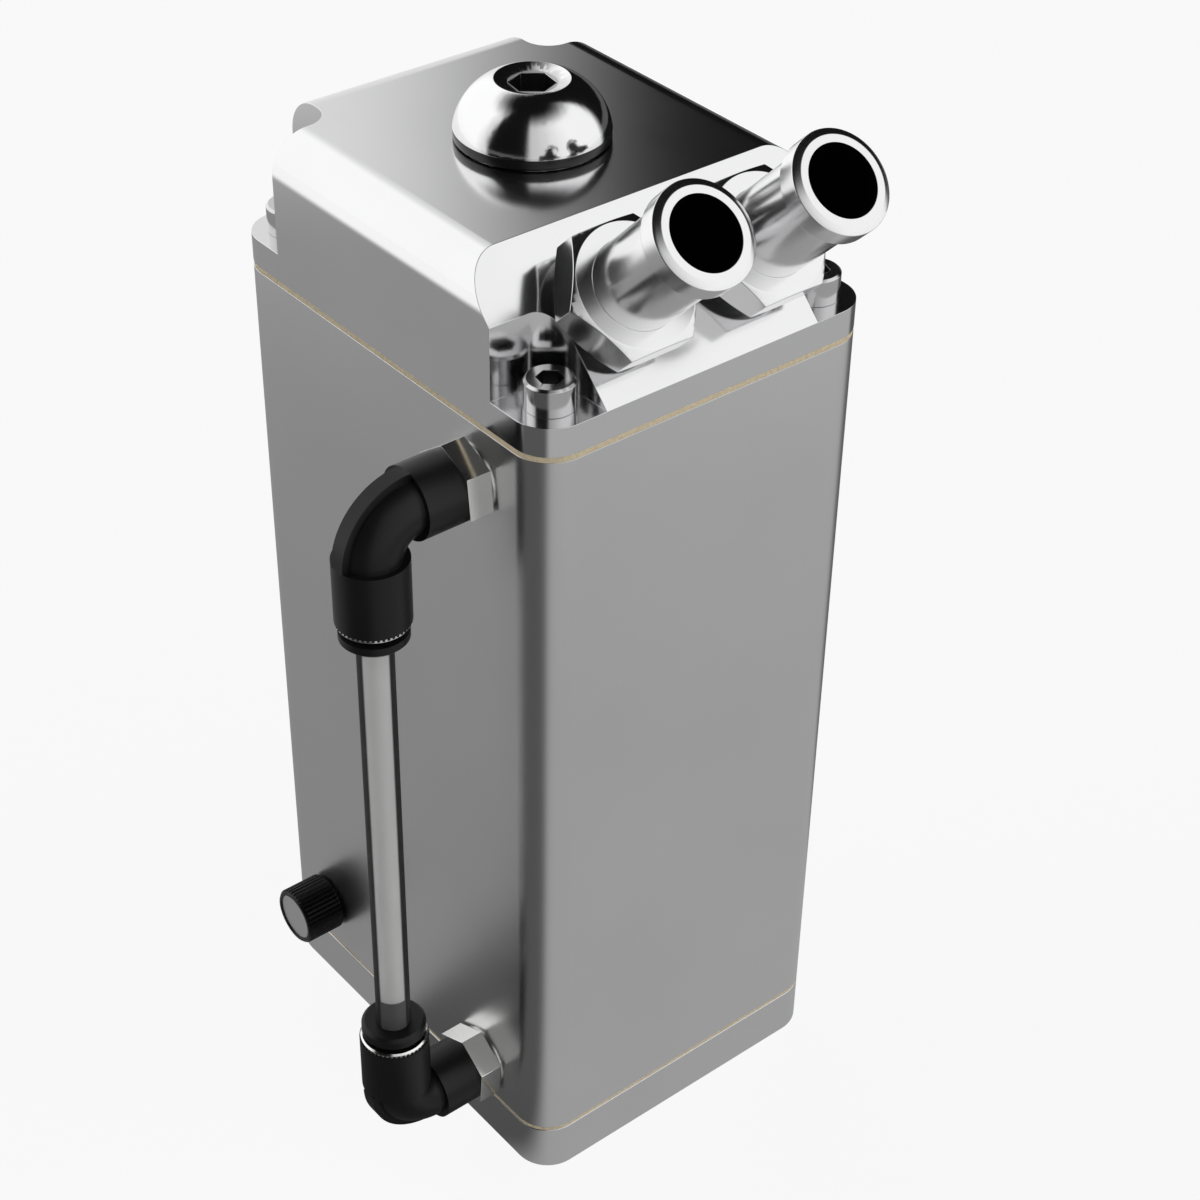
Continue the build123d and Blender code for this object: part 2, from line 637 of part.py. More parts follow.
    with BuildPart() as release_collet:
        turn(
            to_tube,
            [
                (TUBE_D / 2 + TUBE_FIT, collet_inner),
                (COLLET_D / 2, collet_inner),
                (COLLET_D / 2, flange_start),
                (COLLET_FLANGE_D / 2, flange_start),
                (COLLET_FLANGE_D / 2, collet_end - COLLET_FLANGE_CHAMFER),
                (COLLET_FLANGE_D / 2 - COLLET_FLANGE_CHAMFER, collet_end),
                (TUBE_D / 2 + TUBE_FIT, collet_end),
            ],
        )
        with BuildSketch(to_tube.offset(collet_inner)):
            with PolarLocations(COLLET_D / 2, COLLET_SLOTS):
                Rectangle(COLLET_D / 2, COLLET_SLOT_W)
        extrude(amount=COLLET_SLOT_L, mode=Mode.SUBTRACT)
    write(release_collet.part, f"{level}_release_collet")

tube_z = gauge_low_z + ELBOW_TUBE_STOP + TUBE_FIT
with BuildPart() as sight_tube:
    with BuildSketch(Plane(origin=(left_x - GAUGE_REACH, gauge_y, tube_z))):
        Circle(TUBE_D / 2)
        Circle(TUBE_BORE_D / 2, mode=Mode.SUBTRACT)
    extrude(amount=gauge_high_z - ELBOW_TUBE_STOP - TUBE_FIT - tube_z)
write(sight_tube.part, "sight_tube")
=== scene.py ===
"""Looks of an oil catch can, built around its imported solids."""

import logging
import math
from dataclasses import dataclass
from enum import Enum
from typing import Any, Callable, Mapping, Sequence

import bmesh
import bpy
from mathutils import Matrix, Vector


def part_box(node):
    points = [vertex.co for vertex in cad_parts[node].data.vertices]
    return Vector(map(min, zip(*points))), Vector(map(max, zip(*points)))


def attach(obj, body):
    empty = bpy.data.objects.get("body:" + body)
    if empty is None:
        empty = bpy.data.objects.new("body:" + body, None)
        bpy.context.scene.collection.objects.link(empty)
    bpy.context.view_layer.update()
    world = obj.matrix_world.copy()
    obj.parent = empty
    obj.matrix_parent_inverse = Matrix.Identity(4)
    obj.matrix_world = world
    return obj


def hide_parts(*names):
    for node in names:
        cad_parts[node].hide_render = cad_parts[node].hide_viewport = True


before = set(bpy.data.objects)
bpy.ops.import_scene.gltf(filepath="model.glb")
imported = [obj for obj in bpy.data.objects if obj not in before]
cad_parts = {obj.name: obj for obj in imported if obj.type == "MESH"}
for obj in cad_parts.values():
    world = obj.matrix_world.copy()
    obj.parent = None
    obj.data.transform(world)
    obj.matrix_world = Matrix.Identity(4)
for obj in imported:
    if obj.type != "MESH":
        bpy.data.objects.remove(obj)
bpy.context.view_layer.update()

MM = 0.001
Point = tuple[float, float]
Triple = tuple[float, float, float]
ORIGIN: Triple = (0.0, 0.0, 0.0)
WHITE: Triple = (1.0, 1.0, 1.0)
OVERLAP = 0.1  # millimetres that a cutting tool or a tooth's foot reaches past a face

logging.basicConfig(level=logging.INFO, format="%(message)s")
log = logging.getLogger("catch_can")


class Grain(Enum):
    """How a metal surface was finished, which sets the pattern of its fine marks."""

    EXTRUDED = "fine lines up the tank"
    MILLED = "even, fine and crossing marks"
    TURNED = "rings round an axis"


class Direction(Enum):
    """A direction in the row frame that a turned piece points in."""

    UP = (0.0, 0.0, 1.0)
    DOWN = (0.0, 0.0, -1.0)
    LEFT = (-1.0, 0.0, 0.0)
    PORT = (0.0, -math.sqrt(0.5), math.sqrt(0.5))


def even(value: float) -> Triple:
    """The same value three times, as a grey or as an even scale."""
    return (value, value, value)


def seat(origin: Sequence[float], direction: Direction, turn: float = 0.0) -> Matrix:
    """Place whose local Z points in a direction.

    Args:
        origin: Its origin in millimetres.
        direction: Where its Z axis points.
        turn: Its turn about that axis, in degrees.

    Returns:
        The matrix from local millimetres to the row frame in metres.
    """
    z = Vector(direction.value).normalized()
    x = Vector((0, 1, 0)) if abs(z.x) > 0.9 else Vector((1, 0, 0))
    y = z.cross(x)
    rotation = Matrix((x, y, z)).transposed().to_4x4() @ Matrix.Rotation(math.radians(turn), 4, "Z")
    return Matrix.Translation(Vector(origin) * MM) @ rotation @ Matrix.Scale(MM, 4)


# Node graphs


class Graph:
    """A node tree with one way to add any node."""

    def __init__(self, tree: bpy.types.NodeTree) -> None:
        """Start from a tree with no nodes in it."""
        self.tree = tree
        self.tree.nodes.clear()

    def add(
        self,
        kind: str,
        settings: Mapping[str, Any] | None = None,
        sockets: Mapping[str | int, Any] | None = None,
        out: str | int = 0,
    ) -> "Signal":
        """Add a node.

        Args:
            kind: The node's type name.
            settings: Its own settings.
            sockets: Values or signals for its inputs, by name or by number.
            out: The output that the returned signal stands for.

        Returns:
            That output, as a signal.
        """
        node = self.tree.nodes.new(kind)
        for key, value in (settings or {}).items():
            setattr(node, key, value)
        for key, value in (sockets or {}).items():
            self.feed(node.inputs[key], value)
        return Signal(self, node, node.outputs[out] if len(node.outputs) else None)

    def feed(self, socket: bpy.types.NodeSocket, value: Any) -> None:
        """Link a signal to a socket, or set its value.

        Args:
            socket: The input to feed.
            value: A signal, a number, or a colour or vector of the socket's length.
        """
        if isinstance(value, Signal):
            self.tree.links.new(value.socket, socket)
        elif isinstance(value, tuple) and len(value) == 3 and socket.type == "RGBA":
            socket.default_value = (*value, 1.0)
        else:
            socket.default_value = value


def operator(operation: str, reflected: bool = False) -> Callable[["Signal", Any], "Signal"]:
    """A Python operator between a signal and another value.

    Args:
        operation: The Math node's operation.
        reflected: Whether the signal is the second of the two.

    Returns:
        The method that adds the node.
    """

    def apply(signal: "Signal", other: Any) -> "Signal":
        """The operation on the signal and the other value, in their order."""
        return signal.maths(operation, *((other, signal) if reflected else (signal, other)))

    return apply


class Signal:
    """An output of a node that can be used in Python arithmetic."""

    def __init__(self, graph: Graph, node: bpy.types.Node, socket: bpy.types.NodeSocket | None) -> None:
        """Wrap one output of a node."""
        self.graph, self.node, self.socket = graph, node, socket

    def output(self, name: str | int) -> "Signal":
        """Another output of the same node."""
        return Signal(self.graph, self.node, self.node.outputs[name])

    def feed(self, name: str, value: Any) -> None:
        """Feed one of the node's own inputs."""
        self.graph.feed(self.node.inputs[name], value)

    def maths(self, operation: str, *values: Any) -> "Signal":
        """A Math node on the given values."""
        return self.graph.add("ShaderNodeMath", {"operation": operation}, dict(enumerate(values)))

    __add__, __radd__ = operator("ADD"), operator("ADD", True)
    __sub__, __rsub__ = operator("SUBTRACT"), operator("SUBTRACT", True)
    __mul__, __rmul__ = operator("MULTIPLY"), operator("MULTIPLY", True)


def smooth_step(graph: Graph, value: Signal, start: float, end: float, first: float, last: float) -> Signal:
    """A smooth step of a signal between two places, from a first level to a last."""
    values = {"Value": value, "From Min": start, "From Max": end, "To Min": first, "To Max": last}
    return graph.add("ShaderNodeMapRange", {"interpolation_type": "SMOOTHSTEP"}, values)


# Finishes


@dataclass(frozen=True)
class Finish:
    """A surface finish: what every finish shares, and how its material is put together."""

    slot: str
    colour: Triple
    roughness: float

    def label(self) -> str:
        """Name of the material."""
        return f"{self.slot}_{type(self).__name__.lower()}"

    def coordinates(
        self, graph: Graph, scale: Triple, centre: Triple = ORIGIN, turn: Triple = ORIGIN
    ) -> Signal:
        """Object coordinates, moved to a centre, turned and scaled.

        Args:
            graph: The material's graph.
            scale: Pattern cells per metre along each axis.
            centre: Where the pattern's origin is, in metres.
            turn: Euler angles that bring the pattern's axis onto Z.

        Returns:
            The vector signal.
        """
        place = graph.add("ShaderNodeTexCoord", out="Object")
        back = graph.add("ShaderNodeVectorMath", {"operation": "SUBTRACT"}, {0: place, 1: centre})
        values = {"Vector": back, "Rotation": turn, "Scale": scale}
        return graph.add("ShaderNodeMapping", {"vector_type": "POINT"}, values)

    def noise(self, graph: Graph, scale: Triple, detail: float = 2.0) -> Signal:
        """Soft noise between 0 and 1, in cells per metre along each axis."""
        place = self.coordinates(graph, scale)
        return graph.add("ShaderNodeTexNoise", {}, {"Vector": place, "Scale": 1.0, "Detail": detail})

    def tones(self, graph: Graph, factor: Signal, low: float, high: float) -> Signal:
        """The finish's colour, between a darker and a lighter tone of it.

        Args:
            graph: The material's graph.
            factor: 0 where it is darker and 1 where it is lighter.
            low: The darker tone as a share of the colour.
            high: The lighter tone as a share of the colour.

        Returns:
            The colour signal.
        """
        darker = tuple(min(1.0, c * low) for c in self.colour)
        lighter = tuple(min(1.0, c * high) for c in self.colour)
        return graph.add("ShaderNodeMix", {"data_type": "RGBA"}, {0: factor, 6: darker, 7: lighter}, out=2)

    def surface(self, graph: Graph, shader: Signal) -> None:
        """Feed the varying sockets of the shader."""
        raise NotImplementedError

    def fixed(self) -> dict[str, Any]:
        """Values that are the same all over the surface."""
        return {"Metallic": 0.0}

    def layered(self, graph: Graph, shader: Signal) -> Signal:
        """The whole surface, which is the shader alone unless a finish lays more over it."""
        return shader

    def material(self) -> bpy.types.Material:
        """Build the material.

        Returns:
            The material, with its node tree.
        """
        material = bpy.data.materials.new(self.label())
        material.use_nodes = True
        graph = Graph(material.node_tree)
        shader = graph.add("ShaderNodeBsdfPrincipled", {}, self.fixed())
        self.surface(graph, shader)
        graph.add("ShaderNodeOutputMaterial", {}, {"Surface": self.layered(graph, shader)})
        return material

    def bump(self, graph: Graph, shader: Signal, height: Signal, strength: float, distance: float) -> None:
        """Feed the shader's normal from a height of 0 to 1, with its relief in millimetres."""
        values = {"Strength": strength, "Distance": distance * MM, "Height": height}
        shader.feed("Normal", graph.add("ShaderNodeBump", {}, values))


@dataclass(frozen=True)
class Metal(Finish):
    """Bare or plated metal with the fine marks of how it was made."""

    grain: Grain = Grain.MILLED
    marks: float = 0.05
    relief: float = 0.03
    centre: Triple = ORIGIN
    turn: Triple = ORIGIN

    def fixed(self) -> dict[str, Any]:
        """Metal all through."""
        return {"Metallic": 1.0}

    def line_scale(self) -> Triple:
        """Cells per metre of the marks, stretched along the extrusion."""
        return (2600.0, 2600.0, 22.0) if self.grain is Grain.EXTRUDED else even(2200.0)

    def fine_marks(self, graph: Graph) -> Signal:
        """The pattern of fine marks.

        Args:
            graph: The material's graph.

        Returns:
            The pattern, between 0 and 1.
        """
        if self.grain is not Grain.TURNED:
            return self.noise(graph, self.line_scale(), 3.0)
        local = self.coordinates(graph, even(1.0), self.centre, self.turn)
        flat = graph.add("ShaderNodeVectorMath", {"operation": "MULTIPLY"}, {0: local, 1: (1.0, 1.0, 0.0)})
        radius = graph.add("ShaderNodeVectorMath", {"operation": "LENGTH"}, {0: flat}, out="Value")
        height = graph.add("ShaderNodeSeparateXYZ", {}, {0: local}, out="Z")
        along = (radius + height * 1.7) * 5200.0
        values = {"W": along, "Scale": 1.0, "Detail": 2.0}
        return graph.add("ShaderNodeTexNoise", {"noise_dimensions": "1D"}, values)

    def surface(self, graph: Graph, shader: Signal) -> None:
        """Marks in the roughness and the relief, and a soft cloud in the tone.

        Args:
            graph: The material's graph.
            shader: The shader to feed.
        """
        marks = self.fine_marks(graph)
        cloud = self.noise(graph, even(28.0), 3.0)
        smear = self.noise(graph, (90.0, 60.0, 140.0), 4.0)
        shader.feed("Base Color", self.tones(graph, cloud, 0.95, 1.05))
        rough = self.roughness - self.marks + marks * self.marks + smear * self.marks
        shader.feed("Roughness", rough)
        self.bump(graph, shader, marks, self.relief, 0.01)


@dataclass(frozen=True)
class Plastic(Finish):
    """Moulded plastic with a spark-eroded grain and a little handling shine."""

    grain_size: float = 0.22
    relief: float = 0.08

    def fixed(self) -> dict[str, Any]:
        """A weak shine all over."""
        return {"Metallic": 0.0, "Specular IOR Level": 0.28}

    def surface(self, graph: Graph, shader: Signal) -> None:
        """Grain in the relief, and patches of shine and of dust.

        Args:
            graph: The material's graph.
            shader: The shader to feed.
        """
        cells = 1.0 / (self.grain_size * MM)
        grain = self.noise(graph, even(cells), 2.0)
        patch = self.noise(graph, even(160.0), 3.0)
        shader.feed("Base Color", self.tones(graph, patch, 0.8, 1.25))
        shader.feed("Roughness", self.roughness - 0.06 + patch * 0.12)
        self.bump(graph, shader, grain, self.relief, 0.03)


@dataclass(frozen=True)
class Rubber(Finish):
    """Dull rubber with a faint bloom on it."""

    def surface(self, graph: Graph, shader: Signal) -> None:
        """Bloom in the tone, and a fine grain.

        Args:
            graph: The material's graph.
            shader: The shader to feed.
        """
        bloom = self.noise(graph, even(300.0), 4.0)
        grain = self.noise(graph, even(5000.0), 1.0)
        shader.feed("Base Color", self.tones(graph, bloom, 0.75, 1.5))
        shader.feed("Roughness", self.roughness - 0.05 + bloom * 0.1)
        self.bump(graph, shader, grain, 0.15, 0.02)


@dataclass(frozen=True)
class CorkSheet(Finish):
    """Gasket sheet of cork crumbs bound with rubber."""

    crumb: float = 0.7

    def surface(self, graph: Graph, shader: Signal) -> None:
        """Crumbs of different tone with fine pits between them.

        Args:
            graph: The material's graph.
            shader: The shader to feed.
        """
        cells = 1.0 / (self.crumb * MM)
        place = self.coordinates(graph, even(cells))
        values = {"Vector": place, "Scale": 1.0}
        crumbs = graph.add("ShaderNodeTexVoronoi", {"feature": "F1"}, values, out="Distance")
        speck = self.noise(graph, (1500.0, 1500.0, 4000.0), 3.0)
        shader.feed("Base Color", self.tones(graph, crumbs * 0.6 + speck * 0.5, 1.2, 0.8))
        shader.feed("Roughness", self.roughness - 0.05 + speck * 0.1)
        self.bump(graph, shader, 1.0 - crumbs, 0.4, 0.08)


@dataclass(frozen=True)
class ClearTubing(Finish):
    """Clear tubing, with painted shade where its wall is seen edge on and a band of painted shade near its
    lower end.
    """

    centre: Triple = (-0.05485, -0.0245, 0.0)
    wall: Point = (0.0023, 0.0029)
    # Facing range over which the wall seen edge on takes painted shade.
    edge: Point = (0.22, 0.33)
    # Heights in metres below which the tube takes a band of painted shade.
    oil: Point = (0.0481, 0.0485)
    oil_dark: float = 0.8
    edge_dark: float = 0.95

    def fixed(self) -> dict[str, Any]:
        """Light passes and bends as in slightly milky plastic."""
        return {"Metallic": 0.0, "Transmission Weight": 0.45, "IOR": 1.5, "Specular IOR Level": 0.6}

    def surface(self, graph: Graph, shader: Signal) -> None:
        """Faint drawn lines in the shine, and a little haze in the tone.

        Args:
            graph: The material's graph.
            shader: The shader to feed.
        """
        lines = self.noise(graph, (2400.0, 2400.0, 12.0), 2.0)
        haze = self.noise(graph, (200.0, 200.0, 60.0), 2.0)
        shader.feed("Base Color", self.tones(graph, haze, 0.97, 1.02))
        shader.feed("Roughness", self.roughness - 0.02 + lines * 0.05)

    def layered(self, graph: Graph, shader: Signal) -> Signal:
        """The clear shader, with painted shade mixed over it at the wall's edges and near the lower end.

        Args:
            graph: The material's graph.
            shader: The clear shader.

        Returns:
            The surface.
        """
        # A dull dark shader that paints shade over the clear one.
        dull = {"Base Color": even(0.01), "Roughness": 0.5, "Specular IOR Level": 0.1}
        dark = graph.add("ShaderNodeBsdfPrincipled", {}, dull)
        across = 1.0 - graph.add("ShaderNodeLayerWeight", {}, {"Blend": 0.5}, out="Facing")
        up = graph.add("ShaderNodeCombineXYZ", {}, {"Z": 1.0})
        along = 1.0 - graph.add("ShaderNodeLayerWeight", {}, {"Blend": 0.5, "Normal": up}, out="Facing")
        tilt = along.maths("SQRT", along.maths("MAXIMUM", 1.0 - along * along, 0.01))
        facing = 1.0 - across.maths("DIVIDE", across, tilt)
        local = self.coordinates(graph, (1.0, 1.0, 0.0), self.centre)
        radius = graph.add("ShaderNodeVectorMath", {"operation": "LENGTH"}, {0: local}, out="Value")
        outside = smooth_step(graph, radius, *self.wall, 0.0, 1.0)
        height = graph.add("ShaderNodeSeparateXYZ", {}, {0: self.coordinates(graph, even(1.0))}, out="Z")
        # Painted shade low on the tube, and painted shade where the wall is seen edge on.
        oil = smooth_step(graph, height, *self.oil, self.oil_dark, 0.0)
        rim = smooth_step(graph, facing, *self.edge, 0.0, self.edge_dark)
        share = outside * oil.maths("MAXIMUM", oil, rim)
        return graph.add("ShaderNodeMixShader", {}, {0: share, 1: shader, 2: dark})


class Palette:
    """The finishes of the can, each made into a material once."""

    satin = Metal("satin_aluminium", (0.72, 0.72, 0.725), 0.31, Grain.EXTRUDED, 0.03, 0.02)
    sheet = Metal("satin_aluminium", (0.70, 0.70, 0.705), 0.34, Grain.MILLED, 0.06, 0.04)
    polished = Metal("polished_aluminium", (0.78, 0.78, 0.785), 0.135, Grain.MILLED, 0.03, 0.008)
    fitting = Metal("polished_aluminium", (0.80, 0.80, 0.805), 0.19, Grain.MILLED, 0.03, 0.006)
    bright_steel = Metal("stainless_steel", (0.80, 0.80, 0.805), 0.11, Grain.MILLED, 0.02, 0.003)
    nickel = Metal("nickel_brass", (0.84, 0.835, 0.82), 0.14, Grain.MILLED, 0.03, 0.008)
    black_plastic = Plastic("black_plastic", (0.009, 0.009, 0.0095), 0.38)
    knob_plastic = Plastic("knob_plastic", (0.006, 0.006, 0.0065), 0.24, 0.3, 0.04)
    rubber = Rubber("black_rubber", even(0.007), 0.55)
    screw_steel = Metal("stainless_steel", (0.62, 0.62, 0.625), 0.17, Grain.MILLED, 0.03, 0.008)
    # Painted shade for the insides of the screw and plug sockets.
    socket_steel = Metal("stainless_steel", even(0.20), 0.3, Grain.MILLED, 0.05, 0.01)
    smooth_rubber = Rubber("black_rubber", even(0.006), 0.3)
    # Painted shade for the walls of the hose fittings' bores.
    oiled_bore = Metal("polished_aluminium", even(0.03), 0.5, Grain.MILLED, 0.05, 0.02)
    cork = CorkSheet("gasket_fibre", (0.84, 0.71, 0.49), 0.85)
    tubing = ClearTubing("clear_tube", (0.95, 0.95, 0.945), 0.06)

    def __init__(self) -> None:
        """Start with no material made."""
        self.made: dict[Finish, bpy.types.Material] = {}

    def material(self, finish: Finish) -> bpy.types.Material:
        """The material of a finish, made when it is first asked for.

        Args:
            finish: The finish.

        Returns:
            Its material.
        """
        if finish not in self.made:
            self.made[finish] = finish.material()
        return self.made[finish]

    @staticmethod
    def turned(finish: Metal, centre: Sequence[float], direction: Direction) -> Metal:
        """A metal finish with turning rings round an axis.

        Args:
            finish: The metal.
            centre: A point on the axis, in millimetres.
            direction: Where the axis points.

        Returns:
            The same metal with rings.
        """
        to_z = Vector(direction.value).rotation_difference(Vector((0, 0, 1))).to_euler()
        return Metal(
            finish.slot, finish.colour, finish.roughness, Grain.TURNED, finish.marks, finish.relief,
            tuple(c * MM for c in centre), tuple(to_z),
        )


palette = Palette()


# Meshes and pieces

ZERO_LENGTH = 1e-6  # a shorter side, or a radius as small, counts as none
NEARLY_STRAIGHT = math.radians(84)  # a corner isn't rounded when half its angle is more
SIDE_SHARE = 0.45  # the most of a side that one rounded corner takes


def settled(made: bpy.types.Object) -> bpy.types.Mesh:
    """The mesh of an object with its modifiers carried out."""
    graph = bpy.context.evaluated_depsgraph_get()
    return bpy.data.meshes.new_from_object(made.evaluated_get(graph), depsgraph=graph)


def mesh_data(name: str, mesh: bmesh.types.BMesh) -> bpy.types.Mesh:
    """The plain mesh of an edit mesh.

    Args:
        name: The new mesh's name.
        mesh: The edit mesh, which is freed.

    Returns:
        The new mesh.
    """
    data = bpy.data.meshes.new(name)
    mesh.to_mesh(data)
    mesh.free()
    return data


def rounded(
    points: Sequence[Point], radius: float, steps: int = 3, keep: Callable[[Point], bool] | None = None
) -> list[Point]:
    """Outline with its corners rounded.

    Args:
        points: The closed outline.
        radius: The radius of the corners, less where a side is short.
        steps: Straight pieces in each corner.
        keep: Says which corners stay sharp.

    Returns:
        The rounded outline.
    """
    result: list[Point] = []
    for i, corner in enumerate(points):
        here = Vector(corner)
        before, after = Vector(points[i - 1]) - here, Vector(points[(i + 1) % len(points)]) - here
        if (keep and keep(corner)) or min(before.length, after.length) < ZERO_LENGTH:
            result.append(corner)
            continue
        half = before.angle(after, math.pi) / 2
        if half > NEARLY_STRAIGHT:
            result.append(corner)
            continue
        reach = min(radius / math.tan(half), SIDE_SHARE * before.length, SIDE_SHARE * after.length)
        start, end = here + before.normalized() * reach, here + after.normalized() * reach
        for k in range(steps + 1):
            t = k / steps
            p = start.lerp(here, t).lerp(here.lerp(end, t), t)
            result.append((p.x, p.y))
    return result


class Piece:
    """A mesh on its way to being a dressed piece of the can."""

    merge_distance = 2e-6  # metres
    flat_angle = 0.4  # degrees
    kept_sharp = 60.0  # degrees
    ease_steps = 2
    face_weight = 80  # above the neutral 50, so that large faces count for more

    def __init__(self, name: str, mesh: bpy.types.Mesh) -> None:
        """Put a mesh into the scene.

        Args:
            name: The name of the object and of its mesh.
            mesh: The mesh.
        """
        mesh.name = name
        self.made = bpy.data.objects.new(name, mesh)
        bpy.context.scene.collection.objects.link(self.made)

    @classmethod
    def from_bmesh(cls, name: str, mesh: bmesh.types.BMesh) -> "Piece":
        """A piece from an edit mesh, with its faces turned outward."""
        bmesh.ops.recalc_face_normals(mesh, faces=mesh.faces)
        return cls(name, mesh_data(name, mesh))

    @classmethod
    def from_node(cls, name: str, node: str) -> "Piece":
        """A merged copy of a node's mesh, its flat faces made whole.

        Args:
            name: The new piece's name.
            node: The node to copy.

        Returns:
            The piece, in metres.
        """
        mesh = bmesh.new()
        mesh.from_mesh(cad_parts[node].data)
        bmesh.ops.remove_doubles(mesh, verts=mesh.verts, dist=cls.merge_distance)
        flat = math.radians(cls.flat_angle)
        bmesh.ops.dissolve_limit(mesh, angle_limit=flat, verts=mesh.verts, edges=mesh.edges)
        return cls(name, mesh_data(name, mesh))

    @classmethod
    def turned(cls, name: str, outline: Sequence[Point], segments: int = 96) -> "Piece":
        """A closed outline turned about Z.

        Args:
            name: The piece's name.
            outline: Points of radius and height, in millimetres.
            segments: Straight pieces round the axis.

        Returns:
            The piece, in millimetres.
        """
        mesh = bmesh.new()
        rings: list[list[bmesh.types.BMVert]] = []
        for radius, height in outline:
            if radius < ZERO_LENGTH:
                rings.append([mesh.verts.new((0, 0, height))])
                continue
            angles = (2 * math.pi * k / segments for k in range(segments))
            ring = [mesh.verts.new((radius * math.cos(a), radius * math.sin(a), height)) for a in angles]
            rings.append(ring)
        for i, ring in enumerate(rings):
            other = rings[(i + 1) % len(rings)]
            if len(ring) == 1 and len(other) == 1:
                continue
            for k in range(segments):
                m = (k + 1) % segments
                around = ((ring, k), (ring, m), (other, m), (other, k))
                corners = [loop[at % len(loop)] for loop, at in around]
                mesh.faces.new(list(dict.fromkeys(corners)))
        return cls.from_bmesh(name, mesh)

    @classmethod
    def prism(cls, name: str, across: float, low: float, high: float, turn: float = 0.0) -> "Piece":
        """A hexagonal prism.

        Args:
            name: The piece's name.
            across: Its size across flats, in millimetres.
            low: Its lower end.
            high: Its upper end.
            turn: Its turn about Z in degrees.

        Returns:
            The piece, in millimetres.
        """
        mesh = bmesh.new()
        radius = across / 2 / math.cos(math.pi / 6)
        angles = [math.radians(60 * k + turn) for k in range(6)]
        outline = [(radius * math.cos(a), radius * math.sin(a)) for a in angles]
        ends = [[mesh.verts.new((*point, z)) for point in outline] for z in (low, high)]
        mesh.faces.new(ends[0])
        mesh.faces.new(ends[1])
        for k in range(6):
            m = (k + 1) % 6
            mesh.faces.new([ends[0][k], ends[0][m], ends[1][m], ends[1][k]])
        return cls.from_bmesh(name, mesh)

    def settle(self) -> "Piece":
        """Carry out the modifiers and drop them.

        Returns:
            This piece.
        """
        mesh = settled(self.made)
        old = self.made.data
        self.made.modifiers.clear()
        self.made.data = mesh
        mesh.name = old.name
        bpy.data.meshes.remove(old)
        return self

    def cut(self, tool: "Piece") -> "Piece":
        """Cut a tool away and remove it.

        Args:
            tool: The piece to cut with.

        Returns:
            This piece.
        """
        step = self.made.modifiers.new("cut", "BOOLEAN")
        step.operation, step.solver, step.object = "DIFFERENCE", "EXACT", tool.made
        self.settle()
        tool.remove()
        return self

    def remove(self) -> None:
        """Take the piece out of the scene."""
        mesh = self.made.data
        bpy.data.objects.remove(self.made)
        bpy.data.meshes.remove(mesh)

    def place(self, where: Matrix) -> "Piece":
        """Move the mesh itself to its place."""
        self.made.data.transform(where)
        return self

    def smooth(self, angle: float = 30.0) -> "Piece":
        """Shade smooth, with sharp edges kept.

        Args:
            angle: Edges sharper than this stay sharp, in degrees.

        Returns:
            This piece.
        """
        mesh = self.made.data
        mesh.polygons.foreach_set("use_smooth", [True] * len(mesh.polygons))
        mesh.set_sharp_from_angle(angle=math.radians(angle))
        return self

    def ease(self, width: float, angle: float = 30.0) -> "Piece":
        """Round the sharp edges a little, as deburring does.

        Args:
            width: The width of the rounding, in metres for a placed piece.
            angle: Edges sharper than this are rounded.

        Returns:
            This piece.
        """
        bevel = self.made.modifiers.new("ease", "BEVEL")
        bevel.width, bevel.segments, bevel.limit_method = width, self.ease_steps, "ANGLE"
        bevel.angle_limit, bevel.use_clamp_overlap = math.radians(angle), True
        self.settle().smooth(self.kept_sharp)
        weigh = self.made.modifiers.new("weigh", "WEIGHTED_NORMAL")
        weigh.keep_sharp, weigh.weight = True, self.face_weight
        return self.settle()

    def dress(self, finish: Finish, body: str, *nodes: str) -> "Piece":
        """Give the piece its finish, and make it ride on a body in place of nodes.

        Args:
            finish: The finish.
            body: The body it moves with.
            nodes: The nodes it stands for.

        Returns:
            This piece.
        """
        self.made.data.materials.clear()
        self.made.data.materials.append(palette.material(finish))
        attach(self.made, body)
        if nodes:
            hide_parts(*nodes)
        log.info("%s: %d faces on %s", self.made.name, len(self.made.data.polygons), body)
        return self

    def paint(self, finish: Finish, chosen: Callable[[Vector, Vector], bool]) -> "Piece":
        """Give some faces of a dressed piece another finish.

        Args:
            finish: The other finish.
            chosen: Says from a face's centre in metres and its normal whether it takes that finish.

        Returns:
            This piece.
        """
        mesh = self.made.data
        mesh.materials.append(palette.material(finish))
        for face in mesh.polygons:
            if chosen(face.center, face.normal):
                face.material_index = len(mesh.materials) - 1
        return self


def groove(piece: Piece, where: Matrix, inner: float, outer: float, low: float, high: float) -> Piece:
    """Turn a groove into the outside of a placed piece, from an outer radius down to an inner one."""
    tool = Piece.turned("groove", [(inner, low), (outer, low), (outer, high), (inner, high)])
    return piece.cut(tool.place(where))


def join(name: str, parts: Sequence[Piece]) -> Piece:
    """Several pieces as one.

    Args:
        name: The new piece's name.
        parts: The pieces, which are removed.

    Returns:
        The joined piece.
    """
    mesh = bmesh.new()
    for part in parts:
        mesh.from_mesh(part.made.data)
        part.remove()
    return Piece(name, mesh_data(name, mesh))


def soften(node: str, width: float, finish: Finish, body: str) -> None:
    """Put a copy of a node in its place, with edges rounded by a width in millimetres."""
    Piece.from_node(f"{node}_softened", node).ease(width * MM).dress(finish, body, node)


def dress_node(node: str, finish: Finish) -> None:
    """Give a node that keeps its own mesh a finish.

    Args:
        node: The node's name.
        finish: The finish.
    """
    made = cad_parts[node]
    made.data.materials.clear()
    made.data.materials.append(palette.material(finish))
    log.info("%s keeps its mesh", node)


# Repeats


